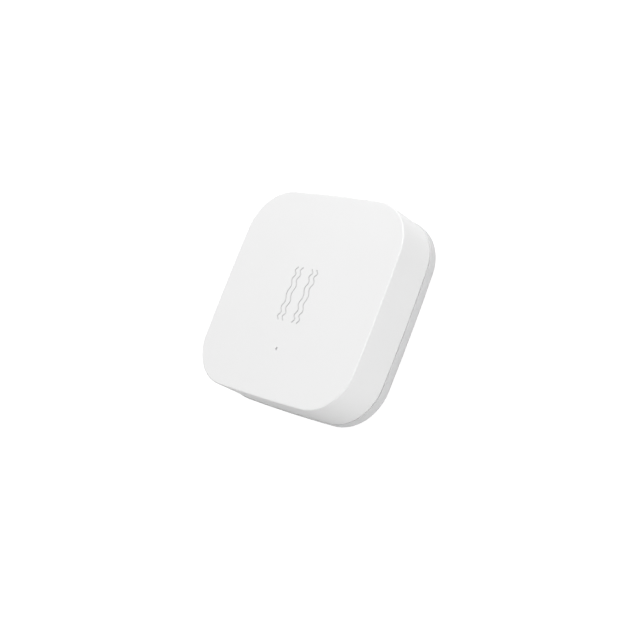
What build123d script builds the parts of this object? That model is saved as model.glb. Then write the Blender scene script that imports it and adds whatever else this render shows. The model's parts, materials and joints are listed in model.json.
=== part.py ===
from build123d import *
from math import atan2, degrees, sqrt
import os

os.makedirs("parts", exist_ok=True)

# A square stick-on vibration sensor. Lengths are in millimetres. The origin is the middle of its
# back, +Z points out of the front face, +Y towards the pairing button, -Y towards the indicator.

# Outline seen from the front: four shallow side arcs that run into four corner arcs
body_width = 50.0
side_radius = 470.0
corner_radius = 11.25

# Heights from the back to the front face
body_height = 14.9
liner_thickness = 0.15
pad_thickness = 1.0
pad_recess = 0.3
back_round = 2.55
rim_height = 1.2
floor_thickness = 1.6
lip_height = 2.0

# Front shell and how it sits on the base
rim_step = 0.2
shell_wall = 1.6
front_wall = 1.7
front_round = 0.3
shell_edge_round = 0.2
lip_clearance = 0.1
lip_wall = 1.0
crush_rib_radius = 0.4
crush_rib_proud = 0.06
crush_rib_setback = 1.5
pry_width = 3.4
pry_depth = 0.35
pry_drop = 1.0

# Adhesive pad, its liner and the cushion under the cell
pad_edge = 6.0
pad_corner = 5.0
pad_clearance = 0.2
tab_width = 9.0
tab_reach = 3.0
tab_corner = 1.5
cushion_inset = 4.0
cushion_height_share = 0.23
cushion_clearance = 0.3
ring_wall = 0.7
ring_height = 0.6
rib_width = 0.8
rib_height = 0.5

# Coin cell
cell_radius = 10.0
cell_height = 3.2
cell_gap = 0.1
can_sheet = 0.25
can_round = 0.6
crimp_reach = 0.7
cap_proud = 0.3
cap_round = 0.3
gasket_wall = 0.45
gasket_gap = 0.05
core_gap = 0.1

# Battery holder and its two springs
holder_clearance = 0.25
holder_wall = 1.35
holder_lead = 0.3
cell_exposed = 0.5
web_thickness = 0.6
web_reach = 3.0
notch_width = 8.0
notch_height = 1.6
peg_radius = 0.6
peg_clearance = 0.05
spring_sheet = 0.2
spring_width = 3.0
spring_clearance = 0.2
spring_touch = 0.05
spring_bend = 0.3
spring_stand = 0.85
spring_foot = 1.6
leaf_reach = 5.0
leaf_foot = 2.4
leaf_curl = 0.5

# Circuit board and its screws
contact_space = 1.0
board_thickness = 1.0
board_gap = 0.45
screw_edge = 6.0
screw_radius = 0.8
screw_length = 4.0
screw_head_radius = 1.4
screw_head_height = 0.9
screw_slot = 0.32
screw_slot_depth = 0.5
board_hole_clearance = 0.15
pilot_clearance = 0.02
pilot_spare = 0.3
boss_wall = 1.3

# Pairing button in the far side and the switch behind it
button_width = 6.2
button_height = 2.2
button_proud = 0.15
button_edge = 0.15
button_clearance = 0.15
button_gap = 0.1
button_travel = 0.25
flange_overlap = 0.6
flange_thickness = 0.8
switch_gap = 0.1
switch_width = 4.7
switch_depth = 3.3
switch_height = 1.8
switch_sheet = 0.15
plunger_width = 1.6
plunger_height = 0.9
plunger_reach = 0.9
plunger_length = 2.0
plunger_clearance = 0.08
dome_sheet = 0.1
dome_rise = 0.35
dome_clearance = 0.05

# Indicator hole and the light guide behind it
indicator_drop = 13.1
indicator_radius = 0.35
guide_radius = 1.1
guide_clearance = 0.05
guide_sleeve = 0.75
guide_skin = 0.6
guide_recess = 0.1
guide_gap = 0.2
led_length = 1.6
led_width = 0.8
led_height = 0.35
lens_length = 1.0
lens_height = 0.3

# Two pairs of engraved waves. Each wave has its longest step in the middle, and every further
# step up or down is a fixed share of the one before.
wave_inner = 1.71
wave_outer = 3.26
wave_swing = 0.22
wave_step = 1.91
wave_step_share = 0.8
wave_steps = 5
groove_width = 0.34
groove_depth = 0.12

# Parts on the circuit board
radio_width = 5.0
radio_height = 0.85
sensor_width = 3.0
sensor_height = 1.0
crystal_length = 2.5
crystal_width = 2.0
crystal_height = 0.6
clock_length = 3.2
clock_width = 1.5
clock_height = 0.8
inductor_width = 3.0
inductor_height = 1.2
package_edge = 0.12
chip_length = 1.0
chip_width = 0.5
capacitor_height = 0.5
resistor_height = 0.35
copper_thickness = 0.05
test_pad_radius = 0.6
antenna_track = 0.6
antenna_pitch = 1.6
antenna_reach = 4.2

# Places on the board, as shares of half its width
radio_place_share = (-0.26, -0.15)
sensor_place_share = (0.0, 0.3)
crystal_place_share = (-0.48, -0.15)
clock_place_share = (-0.26, -0.4)
inductor_place_share = (0.3, 0.36)
capacitor_place_shares = (
    (-0.5, 0.02), (-0.42, 0.02), (-0.06, -0.02), (-0.06, -0.1), (-0.06, -0.2),
    (0.16, 0.24), (0.16, 0.34), (0.46, 0.3), (0.46, 0.4), (0.2, -0.3),
)
resistor_place_shares = (
    (-0.3, 0.1), (-0.2, 0.1), (0.1, -0.52), (-0.16, 0.6), (-0.26, 0.6), (0.3, -0.12),
)
test_pad_row_share = 0.84
test_pad_pitch_share = 0.14
test_pads_in_row = 6
antenna_place_share = 0.68
antenna_bars = 10

# One overrun serves every through cut
overrun = 1.0

# Heights that follow
underside_z = liner_thickness + pad_thickness - pad_recess
rim_top_z = underside_z + back_round + rim_height
floor_z = underside_z + floor_thickness
ceiling_z = body_height - front_wall
stack_height = cell_gap + cell_height + contact_space + board_thickness
cushion_thickness = cushion_height_share * (ceiling_z - floor_z - stack_height)
cell_z = floor_z + cushion_thickness + cell_gap
cell_top_z = cell_z + cell_height
board_z = cell_top_z + contact_space
board_top_z = board_z + board_thickness
holder_z = cell_z + cell_exposed

# Insets of the outline that follow
shell_inset = rim_step + shell_wall
lip_inset = shell_inset + lip_clearance
bay_inset = lip_inset + lip_wall

# Stack behind the pairing button, from the outside of the wall to the switch
wall_outer_y = body_width / 2 - rim_step
wall_inner_y = body_width / 2 - shell_inset
flange_outer_y = wall_inner_y - button_gap
flange_inner_y = flange_outer_y - flange_thickness
plunger_tip_y = flange_inner_y - switch_gap
switch_front_y = plunger_tip_y - plunger_reach
button_z = board_top_z + switch_height / 2
dome_y = plunger_tip_y - plunger_length - button_travel - dome_clearance - dome_rise
board_half = flange_inner_y - button_travel - board_gap
board_inset = body_width / 2 - board_half
screw_spacing = 2 * (board_half - screw_edge)

# Sizes that follow from the cell, its holder, the screws and the body
can_height = cell_height - cap_proud
cap_radius = cell_radius - crimp_reach - gasket_gap - gasket_wall
cushion_radius = cell_radius - cushion_inset
web_hole_radius = cell_radius - web_reach
holder_bore = cell_radius + holder_clearance
holder_radius = holder_bore + holder_wall
peg_place = holder_bore + holder_wall / 2
pilot_radius = screw_radius + pilot_clearance
boss_radius = screw_radius + boss_wall
pad_width = body_width - 2 * pad_edge

# The outline's side arcs are centred this far beyond the middle, and its corner arcs on the diagonal
side_shift = side_radius - body_width / 2
arc_reach = side_radius - corner_radius
corner_centre = (sqrt(2 * arc_reach**2 - side_shift**2) - side_shift) / 2
corner_start = degrees(atan2(corner_centre, corner_centre + side_shift))
corner_tip = sqrt(2) * corner_centre + corner_radius
crush_rib_place = corner_centre - crush_rib_setback


def squircle(inset):
    """The body's outline moved inwards by inset: four side arcs tangent to four corner arcs."""
    with BuildSketch() as area:
        with BuildLine():
            for turn in (0, 90, 180, 270):
                side_middle = Vector(-side_shift, 0).rotate(Axis.Z, turn)
                corner_middle = Vector(corner_centre, corner_centre).rotate(Axis.Z, turn)
                CenterArc(side_middle, side_radius - inset, turn - corner_start, 2 * corner_start)
                CenterArc(
                    corner_middle,
                    corner_radius - inset,
                    turn + corner_start,
                    90 - 2 * corner_start,
                )
        make_face()
    return area.sketch


def side_reach(inset, along):
    """How far the outline, moved inwards by inset, lies from the middle at a distance along a side."""
    return sqrt((side_radius - inset) ** 2 - along**2) - side_shift


def wave_line(side, middle):
    """Corners of one wave from its lower to its upper end, and the radius of each bend between them.

    A bend fills the shorter of its two steps, which rounds half of the corner's swing away. The
    corners therefore swing twice as far as the wave does, and only its two ends don't."""
    steps = [wave_step * wave_step_share**count for count in range(wave_steps)]
    corners = []
    bends = []
    for index in range(-wave_steps, wave_steps + 1):
        count = abs(index)
        swing = wave_swing if count == wave_steps else 2 * wave_swing
        across = swing if index % 2 == 0 else -swing
        height = sum(steps[:count]) if index > 0 else -sum(steps[:count])
        corners.append((side * (middle + across), height))
        if count < wave_steps:
            bends.append(steps[count] ** 2 / (8 * wave_swing))
    return corners, bends


# Base plate: a shallow dish with a rounded back edge, a lip that the shell slides over, a seat for
# the adhesive pad, a ring and four ribs on its floor, and a notch for prying in the corner between
# the -X and +Y sides
with BuildPart() as base_plate:
    with BuildSketch(Plane.XY.offset(underside_z)):
        add(squircle(0))
    extrude(amount=rim_top_z - underside_z)
    fillet(base_plate.faces().sort_by(Axis.Z)[0].edges(), radius=back_round)
    with BuildSketch(Plane.XY.offset(rim_top_z)):
        add(squircle(lip_inset))
    extrude(amount=lip_height)
    chamfer(base_plate.faces().sort_by(Axis.Z)[-1].edges(), length=lip_wall / 4)
    with BuildSketch(Plane.XY.offset(floor_z)):
        add(squircle(bay_inset))
    extrude(amount=rim_top_z + lip_height - floor_z, mode=Mode.SUBTRACT)
    with BuildSketch(Plane.XY.offset(underside_z)):
        seat_width = pad_width + 2 * pad_clearance
        RectangleRounded(seat_width, seat_width, radius=pad_corner + pad_clearance)
    extrude(amount=pad_recess, mode=Mode.SUBTRACT)
    ring_inner = cushion_radius + cushion_clearance
    ring_outer = ring_inner + ring_wall
    with BuildSketch(Plane.XY.offset(floor_z)):
        Circle(ring_outer)
        Circle(ring_inner, mode=Mode.SUBTRACT)
    extrude(amount=ring_height)
    rib_start = ring_outer - ring_wall / 2
    rib_end = body_width / 2 - bay_inset + lip_wall / 2
    with BuildSketch(Plane.XY.offset(floor_z)):
        with PolarLocations((rib_start + rib_end) / 2, 4):
            Rectangle(rib_end - rib_start, rib_width)
    extrude(amount=rib_height)
    crush_rib_reach = side_reach(lip_inset, crush_rib_place) - crush_rib_radius + crush_rib_proud
    with BuildSketch(Plane.XY.offset(rim_top_z)):
        for turn in (0, 90, 180, 270):
            for along in (-crush_rib_place, crush_rib_place):
                with Locations(Vector(crush_rib_reach, along).rotate(Axis.Z, turn)):
                    Circle(crush_rib_radius)
    extrude(amount=lip_height - lip_wall / 4)
    with BuildSketch(Plane.XY.offset(rim_top_z)):
        with PolarLocations(corner_tip, 1, start_angle=135):
            Rectangle(2 * pry_depth, pry_width)
    extrude(amount=-(rim_height + pry_drop), mode=Mode.SUBTRACT)
base_plate.part.label = "base_plate"
export_step(base_plate.part, "parts/base_plate.step")

# Foam adhesive pad in the seat of the base plate
with BuildPart() as adhesive_pad:
    with BuildSketch(Plane.XY.offset(liner_thickness)):
        RectangleRounded(pad_width, pad_width, radius=pad_corner)
    extrude(amount=pad_thickness)
adhesive_pad.part.label = "adhesive_pad"
export_step(adhesive_pad.part, "parts/adhesive_pad.step")

# Release liner over the pad, with a tab to peel it by
with BuildPart() as release_liner:
    with BuildSketch():
        RectangleRounded(pad_width, pad_width, radius=pad_corner)
        with Locations((0, -pad_width / 2)):
            RectangleRounded(tab_width, 2 * tab_reach, radius=tab_corner)
    extrude(amount=liner_thickness)
release_liner.part.label = "release_liner"
export_step(release_liner.part, "parts/release_liner.step")

# Foam disc on the floor under the cell
with BuildPart() as cell_cushion:
    with BuildSketch(Plane.XY.offset(floor_z)):
        Circle(cushion_radius)
    extrude(amount=cushion_thickness)
cell_cushion.part.label = "cell_cushion"
export_step(cell_cushion.part, "parts/cell_cushion.step")

# Front shell: a closed front with straight sides, four screw bosses, a sleeve for the light guide,
# the button hole, the indicator hole and the engraved waves
with BuildPart() as front_shell:
    with BuildSketch(Plane.XY.offset(rim_top_z)):
        add(squircle(rim_step))
    extrude(amount=body_height - rim_top_z)
    fillet(front_shell.faces().sort_by(Axis.Z)[-1].edges(), radius=front_round)
    fillet(front_shell.faces().sort_by(Axis.Z)[0].edges(), radius=shell_edge_round)
    with BuildSketch(Plane.XY.offset(rim_top_z)):
        add(squircle(shell_inset))
    extrude(amount=ceiling_z - rim_top_z, mode=Mode.SUBTRACT)
    with BuildSketch(Plane.XY.offset(board_top_z)):
        with GridLocations(screw_spacing, screw_spacing, 2, 2):
            Circle(boss_radius)
    extrude(amount=ceiling_z - board_top_z)
    with BuildSketch(Plane.XY.offset(board_top_z)):
        with GridLocations(screw_spacing, screw_spacing, 2, 2):
            Circle(pilot_radius)
    extrude(amount=screw_length - board_thickness + pilot_spare, mode=Mode.SUBTRACT)
    sleeve_z = (board_top_z + ceiling_z) / 2
    with BuildSketch(Plane.XY.offset(sleeve_z)):
        with Locations((0, -indicator_drop)):
            Circle(guide_radius + guide_clearance + guide_sleeve)
    extrude(amount=ceiling_z - sleeve_z)
    with BuildSketch(Plane.XY.offset(sleeve_z)):
        with Locations((0, -indicator_drop)):
            Circle(guide_radius + guide_clearance)
    extrude(amount=body_height - guide_skin - sleeve_z, mode=Mode.SUBTRACT)
    with BuildSketch(Plane.XY.offset(body_height)):
        with Locations((0, -indicator_drop)):
            Circle(indicator_radius)
    extrude(amount=-(guide_skin + overrun), mode=Mode.SUBTRACT)
    with BuildSketch(Plane((0, wall_outer_y, button_z), x_dir=(-1, 0, 0), z_dir=(0, 1, 0))):
        SlotOverall(button_width + 2 * button_clearance, button_height + 2 * button_clearance)
    extrude(amount=-(shell_wall + overrun), mode=Mode.SUBTRACT)
    with BuildSketch(Plane.XY.offset(body_height)):
        for side in (-1, 1):
            for middle in (wave_inner, wave_outer):
                corners, bends = wave_line(side, middle)
                with BuildLine(mode=Mode.PRIVATE) as wave:
                    FilletPolyline(*corners, radius=bends)
                SlotArc(wave.wires()[0], groove_width)
    extrude(amount=-groove_depth, mode=Mode.SUBTRACT)
front_shell.part.label = "front_shell"
export_step(front_shell.part, "parts/front_shell.step")

# Clear rod from above the indicator light into the hole of the front
with BuildPart() as light_guide:
    guide_z = board_top_z + led_height + lens_height + guide_gap
    with BuildSketch(Plane.XY.offset(guide_z)):
        with Locations((0, -indicator_drop)):
            Circle(guide_radius)
    extrude(amount=body_height - guide_skin - guide_z)
    with BuildSketch(Plane.XY.offset(body_height - guide_skin)):
        with Locations((0, -indicator_drop)):
            Circle(indicator_radius - guide_clearance)
    extrude(amount=guide_skin - guide_recess)
light_guide.part.label = "light_guide"
export_step(light_guide.part, "parts/light_guide.step")

# Circuit board, which follows the outline, with holes for the screws and the holder's pegs
with BuildPart() as circuit_board:
    with BuildSketch(Plane.XY.offset(board_z)):
        add(squircle(board_inset))
        with GridLocations(screw_spacing, screw_spacing, 2, 2):
            Circle(screw_radius + board_hole_clearance, mode=Mode.SUBTRACT)
        with GridLocations(0, 2 * peg_place, 1, 2):
            Circle(peg_radius + peg_clearance, mode=Mode.SUBTRACT)
    extrude(amount=board_thickness)
circuit_board.part.label = "circuit_board"
export_step(circuit_board.part, "parts/circuit_board.step")

# Four cross-head screws that hold the board to the bosses
with BuildPart() as board_screws:
    with BuildSketch(Plane.XY.offset(board_z)):
        with GridLocations(screw_spacing, screw_spacing, 2, 2):
            Circle(screw_head_radius)
    extrude(amount=-screw_head_height)
    fillet(board_screws.faces().group_by(Axis.Z)[0].edges(), radius=screw_head_height / 3)
    with BuildSketch(Plane.XY.offset(board_z)):
        with GridLocations(screw_spacing, screw_spacing, 2, 2):
            Circle(screw_radius)
    extrude(amount=screw_length)
    with BuildSketch(Plane.XY.offset(board_z - screw_head_height)):
        with GridLocations(screw_spacing, screw_spacing, 2, 2):
            Rectangle(screw_head_radius, screw_slot)
            Rectangle(screw_slot, screw_head_radius)
    extrude(amount=screw_slot_depth, mode=Mode.SUBTRACT)
board_screws.part.label = "board_screws"
export_step(board_screws.part, "parts/board_screws.step")

# Battery holder: a ring round the cell with a web against the board, a finger notch, a slot for
# the side spring and two locating pegs
with BuildPart() as battery_holder:
    with BuildSketch(Plane.XY.offset(holder_z)):
        Circle(holder_radius)
    extrude(amount=board_z - holder_z)
    with BuildSketch(Plane.XY.offset(holder_z)):
        Circle(holder_bore)
    extrude(amount=board_z - web_thickness - holder_z, mode=Mode.SUBTRACT)
    with BuildSketch(Plane.XY.offset(board_z)):
        Circle(web_hole_radius)
    extrude(amount=-(web_thickness + overrun), mode=Mode.SUBTRACT)
    chamfer(battery_holder.faces().sort_by(Axis.Z)[0].edges(), length=holder_lead)
    with BuildSketch(Plane.XY.offset(holder_z)):
        with Locations(((cell_radius + holder_radius + overrun) / 2, 0)):
            Rectangle(holder_radius + overrun - cell_radius, notch_width)
    extrude(amount=notch_height, mode=Mode.SUBTRACT)
    with BuildSketch(Plane.XY.offset(holder_z)):
        with Locations((-(cell_radius + holder_radius + overrun) / 2, 0)):
            Rectangle(holder_radius + overrun - cell_radius, spring_width + 2 * spring_clearance)
    extrude(amount=board_z - holder_z, mode=Mode.SUBTRACT)
    with BuildSketch(Plane.XY.offset(board_z)):
        with GridLocations(0, 2 * peg_place, 1, 2):
            Circle(peg_radius)
    extrude(amount=board_thickness)
battery_holder.part.label = "battery_holder"
export_step(battery_holder.part, "parts/battery_holder.step")

# Side spring: a bent strip with a foot on the board and a bump that meets the can
with BuildPart() as positive_contact:
    foot_z = board_z - spring_sheet / 2
    leg_x = -(cell_radius + spring_stand)
    bump_x = -(cell_radius + spring_touch + spring_sheet / 2)
    bump_z = holder_z + spring_stand
    with BuildSketch(Plane.XZ.offset(-spring_width / 2)):
        with BuildLine():
            FilletPolyline(
                (-(holder_radius + spring_foot), foot_z),
                (leg_x, foot_z),
                (leg_x, bump_z + spring_stand),
                (bump_x, bump_z),
                (leg_x, bump_z - spring_stand),
                radius=spring_bend,
            )
        trace(line_width=spring_sheet)
    extrude(amount=spring_width)
positive_contact.part.label = "positive_contact"
export_step(positive_contact.part, "parts/positive_contact.step")

# Leaf spring: a foot on the board and an arm that presses on the cell's cap
with BuildPart() as negative_contact:
    touch_z = cell_top_z + spring_touch + spring_sheet / 2
    with BuildSketch(Plane.XZ.offset(-spring_width / 2)):
        with BuildLine():
            FilletPolyline(
                (leaf_reach, foot_z),
                (leaf_reach - leaf_foot, foot_z),
                (leaf_foot - leaf_reach, touch_z),
                (-leaf_reach, touch_z + leaf_curl),
                radius=spring_bend,
            )
        trace(line_width=spring_sheet)
    extrude(amount=spring_width)
negative_contact.part.label = "negative_contact"
export_step(negative_contact.part, "parts/negative_contact.step")

# Radio chip
with BuildPart() as radio_chip:
    with BuildSketch(Plane.XY.offset(board_top_z)):
        with Locations(Vector(radio_place_share) * board_half):
            Rectangle(radio_width, radio_width)
    extrude(amount=radio_height)
    chamfer(radio_chip.faces().sort_by(Axis.Z)[-1].edges(), length=package_edge)
radio_chip.part.label = "radio_chip"
export_step(radio_chip.part, "parts/radio_chip.step")

# Vibration sensing chip
with BuildPart() as motion_sensor:
    with BuildSketch(Plane.XY.offset(board_top_z)):
        with Locations(Vector(sensor_place_share) * board_half):
            Rectangle(sensor_width, sensor_width)
    extrude(amount=sensor_height)
    chamfer(motion_sensor.faces().sort_by(Axis.Z)[-1].edges(), length=package_edge)
motion_sensor.part.label = "motion_sensor"
export_step(motion_sensor.part, "parts/motion_sensor.step")

# Radio crystal in a metal can
with BuildPart() as radio_crystal:
    with BuildSketch(Plane.XY.offset(board_top_z)):
        with Locations(Vector(crystal_place_share) * board_half):
            RectangleRounded(crystal_length, crystal_width, radius=package_edge)
    extrude(amount=crystal_height)
radio_crystal.part.label = "radio_crystal"
export_step(radio_crystal.part, "parts/radio_crystal.step")

# Clock crystal
with BuildPart() as clock_crystal:
    with BuildSketch(Plane.XY.offset(board_top_z)):
        with Locations(Vector(clock_place_share) * board_half):
            RectangleRounded(clock_length, clock_width, radius=package_edge)
    extrude(amount=clock_height)
clock_crystal.part.label = "clock_crystal"
export_step(clock_crystal.part, "parts/clock_crystal.step")

# Power inductor with cut corners
with BuildPart() as power_inductor:
    with BuildSketch(Plane.XY.offset(board_top_z)):
        with Locations(Vector(inductor_place_share) * board_half):
            Rectangle(inductor_width, inductor_width)
    extrude(amount=inductor_height)
    chamfer(power_inductor.edges().filter_by(Axis.Z), length=inductor_width / 6)
power_inductor.part.label = "power_inductor"
export_step(power_inductor.part, "parts/power_inductor.step")

# Ceramic capacitors
with BuildPart() as ceramic_capacitors:
    with BuildSketch(Plane.XY.offset(board_top_z)):
        with Locations(*[Vector(share) * board_half for share in capacitor_place_shares]):
            Rectangle(chip_length, chip_width)
    extrude(amount=capacitor_height)
ceramic_capacitors.part.label = "ceramic_capacitors"
export_step(ceramic_capacitors.part, "parts/ceramic_capacitors.step")

# Chip resistors
with BuildPart() as chip_resistors:
    with BuildSketch(Plane.XY.offset(board_top_z)):
        with Locations(*[Vector(share) * board_half for share in resistor_place_shares]):
            Rectangle(chip_length, chip_width)
    extrude(amount=resistor_height)
chip_resistors.part.label = "chip_resistors"
export_step(chip_resistors.part, "parts/chip_resistors.step")

# Indicator light: a flat body with a raised lens
with BuildPart() as status_led:
    with BuildSketch(Plane.XY.offset(board_top_z)):
        with Locations((0, -indicator_drop)):
            Rectangle(led_length, led_width)
    extrude(amount=led_height)
    with BuildSketch(Plane.XY.offset(board_top_z + led_height)):
        with Locations((0, -indicator_drop)):
            Rectangle(lens_length, led_width)
    extrude(amount=lens_height)
status_led.part.label = "status_led"
export_step(status_led.part, "parts/status_led.step")

# Printed antenna: bars across the board's edge, joined in turn at their ends
with BuildPart() as antenna_trace:
    antenna_x = antenna_place_share * board_half + antenna_reach / 2
    antenna_length = antenna_pitch * (antenna_bars - 1)
    with BuildSketch(Plane.XY.offset(board_top_z)):
        with Locations((antenna_x, 0)):
            with GridLocations(0, antenna_pitch, 1, antenna_bars):
                Rectangle(antenna_reach, antenna_track)
        for index in range(antenna_bars - 1):
            end = 1 if index % 2 == 0 else -1
            link_x = antenna_x + end * (antenna_reach - antenna_track) / 2
            link_y = antenna_pitch * (index + 1 / 2) - antenna_length / 2
            with Locations((link_x, link_y)):
                Rectangle(antenna_track, antenna_pitch)
    extrude(amount=copper_thickness)
antenna_trace.part.label = "antenna_trace"
export_step(antenna_trace.part, "parts/antenna_trace.step")

# Row of test pads on the board's back
with BuildPart() as test_pads:
    with BuildSketch(Plane.XY.offset(board_z)):
        with Locations((0, -test_pad_row_share * board_half)):
            with GridLocations(test_pad_pitch_share * board_half, 0, test_pads_in_row, 1):
                Circle(test_pad_radius)
    extrude(amount=-copper_thickness)
test_pads.part.label = "test_pads"
export_step(test_pads.part, "parts/test_pads.step")

# Switch body with a pocket for the plunger and the snap dome
with BuildPart() as switch_body:
    with BuildSketch(Plane.XY.offset(board_top_z)):
        with Locations((0, switch_front_y - switch_depth / 2)):
            Rectangle(switch_width, switch_depth)
    extrude(amount=switch_height)
    pocket_width = plunger_width + 2 * plunger_clearance
    pocket_height = plunger_height + 2 * plunger_clearance
    with BuildSketch(Plane.XY.offset(button_z - pocket_height / 2)):
        with Locations((0, (dome_y + switch_front_y + overrun) / 2)):
            Rectangle(pocket_width, switch_front_y + overrun - dome_y)
    extrude(amount=pocket_height, mode=Mode.SUBTRACT)
switch_body.part.label = "switch_body"
export_step(switch_body.part, "parts/switch_body.step")

# Sheet-metal cover bent over the switch body
with BuildPart() as switch_cover:
    cover_width = switch_width + 2 * switch_sheet
    with BuildSketch(Plane.XY.offset(board_top_z)):
        with Locations((0, switch_front_y - switch_depth / 2)):
            Rectangle(cover_width, switch_depth)
    extrude(amount=switch_height + switch_sheet)
    with BuildSketch(Plane.XY.offset(board_top_z)):
        with Locations((0, switch_front_y - switch_depth / 2)):
            Rectangle(switch_width, switch_depth + overrun)
    extrude(amount=switch_height, mode=Mode.SUBTRACT)
switch_cover.part.label = "switch_cover"
export_step(switch_cover.part, "parts/switch_cover.step")

# Snap dome: a bowed strip standing in the pocket, just short of the pressed plunger
with BuildPart() as snap_dome:
    dome_half = plunger_width / 2
    with BuildSketch(Plane.XY.offset(button_z - plunger_height / 2)):
        with BuildLine():
            ThreePointArc((-dome_half, dome_y), (0, dome_y + dome_rise), (dome_half, dome_y))
            ThreePointArc(
                (-dome_half + dome_sheet, dome_y),
                (0, dome_y + dome_rise - dome_sheet),
                (dome_half - dome_sheet, dome_y),
            )
            Line((-dome_half, dome_y), (-dome_half + dome_sheet, dome_y))
            Line((dome_half - dome_sheet, dome_y), (dome_half, dome_y))
        make_face()
    extrude(amount=plunger_height)
snap_dome.part.label = "snap_dome"
export_step(snap_dome.part, "parts/snap_dome.step")

# Plunger of the switch
with BuildPart() as switch_plunger:
    with BuildSketch(Plane.XY.offset(button_z - plunger_height / 2)):
        with Locations((0, plunger_tip_y - plunger_length / 2)):
            Rectangle(plunger_width, plunger_length)
    extrude(amount=plunger_height)
switch_plunger.part.label = "switch_plunger"
export_step(switch_plunger.part, "parts/switch_plunger.step")

# Pairing button: a slot-shaped cap in the wall, held in by the two ears of a wider slot behind it
# that meets the plunger
with BuildPart() as pairing_button:
    with BuildSketch(Plane((0, flange_inner_y, button_z), x_dir=(-1, 0, 0), z_dir=(0, 1, 0))):
        SlotOverall(button_width + 2 * flange_overlap, button_height)
    extrude(amount=flange_thickness)
    with BuildSketch(Plane((0, flange_outer_y, button_z), x_dir=(-1, 0, 0), z_dir=(0, 1, 0))):
        SlotOverall(button_width, button_height)
    extrude(amount=wall_outer_y + button_proud - flange_outer_y)
    fillet(pairing_button.faces().sort_by(Axis.Y)[-1].edges(), radius=button_edge)
pairing_button.part.label = "pairing_button"
export_step(pairing_button.part, "parts/pairing_button.step")

# Cell can: a shallow cup of sheet steel whose rim is crimped inwards
with BuildPart() as cell_can:
    with BuildSketch(Plane.XZ):
        with BuildLine():
            can_low = cell_z
            can_top = cell_z + can_height
            Polyline(
                (cell_radius, can_low + can_round),
                (cell_radius, can_top),
                (cell_radius - crimp_reach, can_top),
                (cell_radius - crimp_reach, can_top - can_sheet),
                (cell_radius - can_sheet, can_top - can_sheet),
                (cell_radius - can_sheet, can_low + can_round),
            )
            Line((cell_radius - can_round, can_low), (0, can_low))
            Line((0, can_low), (0, can_low + can_sheet))
            Line((0, can_low + can_sheet), (cell_radius - can_round, can_low + can_sheet))
            CenterArc((cell_radius - can_round, can_low + can_round), can_round, -90, 90)
            CenterArc(
                (cell_radius - can_round, can_low + can_round), can_round - can_sheet, -90, 90
            )
        make_face()
    revolve(axis=Axis.Z)
    fillet(cell_can.edges().group_by(Axis.Z)[-1].sort_by(SortBy.RADIUS)[-1], radius=can_sheet)
cell_can.part.label = "cell_can"
export_step(cell_can.part, "parts/cell_can.step")

# Cell cap: the smaller cup, upside down in the can
with BuildPart() as cell_cap:
    cap_low_z = cell_z + can_sheet + core_gap + can_round
    with BuildSketch(Plane.XY.offset(cap_low_z)):
        Circle(cap_radius)
    extrude(amount=cell_top_z - cap_low_z)
    fillet(cell_cap.faces().sort_by(Axis.Z)[-1].edges(), radius=cap_round)
    with BuildSketch(Plane.XY.offset(cap_low_z)):
        Circle(cap_radius - can_sheet)
    extrude(amount=cell_top_z - can_sheet - cap_low_z, mode=Mode.SUBTRACT)
cell_cap.part.label = "cell_cap"
export_step(cell_cap.part, "parts/cell_cap.step")

# Gasket ring between the can's crimp and the cap
with BuildPart() as cell_gasket:
    with BuildSketch(Plane.XY.offset(cap_low_z)):
        Circle(cap_radius + gasket_wall)
        Circle(cap_radius, mode=Mode.SUBTRACT)
    extrude(amount=cell_z + can_height - cap_low_z)
cell_gasket.part.label = "cell_gasket"
export_step(cell_gasket.part, "parts/cell_gasket.step")

# Sealed filling of the cell
with BuildPart() as cell_core:
    with BuildSketch(Plane.XY.offset(cell_z + can_sheet)):
        Circle(cap_radius - can_sheet - core_gap)
    extrude(amount=cell_top_z - can_sheet - (cell_z + can_sheet))
cell_core.part.label = "cell_core"
export_step(cell_core.part, "parts/cell_core.step")
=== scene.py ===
import json
import math

import bmesh
import bpy
import numpy as np
from mathutils import Matrix, Vector


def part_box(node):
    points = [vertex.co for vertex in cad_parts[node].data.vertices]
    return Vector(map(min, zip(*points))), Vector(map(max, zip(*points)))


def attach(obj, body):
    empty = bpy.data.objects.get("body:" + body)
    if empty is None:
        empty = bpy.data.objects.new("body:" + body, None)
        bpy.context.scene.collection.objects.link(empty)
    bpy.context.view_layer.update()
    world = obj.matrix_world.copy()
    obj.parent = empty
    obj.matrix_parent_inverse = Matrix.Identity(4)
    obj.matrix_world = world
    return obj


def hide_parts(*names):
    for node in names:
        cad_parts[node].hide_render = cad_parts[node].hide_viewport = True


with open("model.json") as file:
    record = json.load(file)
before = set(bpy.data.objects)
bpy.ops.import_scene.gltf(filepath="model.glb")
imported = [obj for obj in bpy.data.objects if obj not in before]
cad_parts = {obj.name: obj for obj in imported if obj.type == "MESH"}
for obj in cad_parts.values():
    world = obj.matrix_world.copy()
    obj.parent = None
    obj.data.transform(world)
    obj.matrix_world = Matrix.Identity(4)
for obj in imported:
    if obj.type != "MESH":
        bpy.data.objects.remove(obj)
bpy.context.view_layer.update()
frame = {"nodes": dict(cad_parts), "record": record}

# Sizes and places are in millimetres, and become metres where a mesh, a light or a pattern is made
MM = 0.001


def corners(name):
    """Lowest and highest corner of a CAD node, in millimetres."""
    low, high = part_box(name)
    return np.array(low) / MM, np.array(high) / MM


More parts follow.
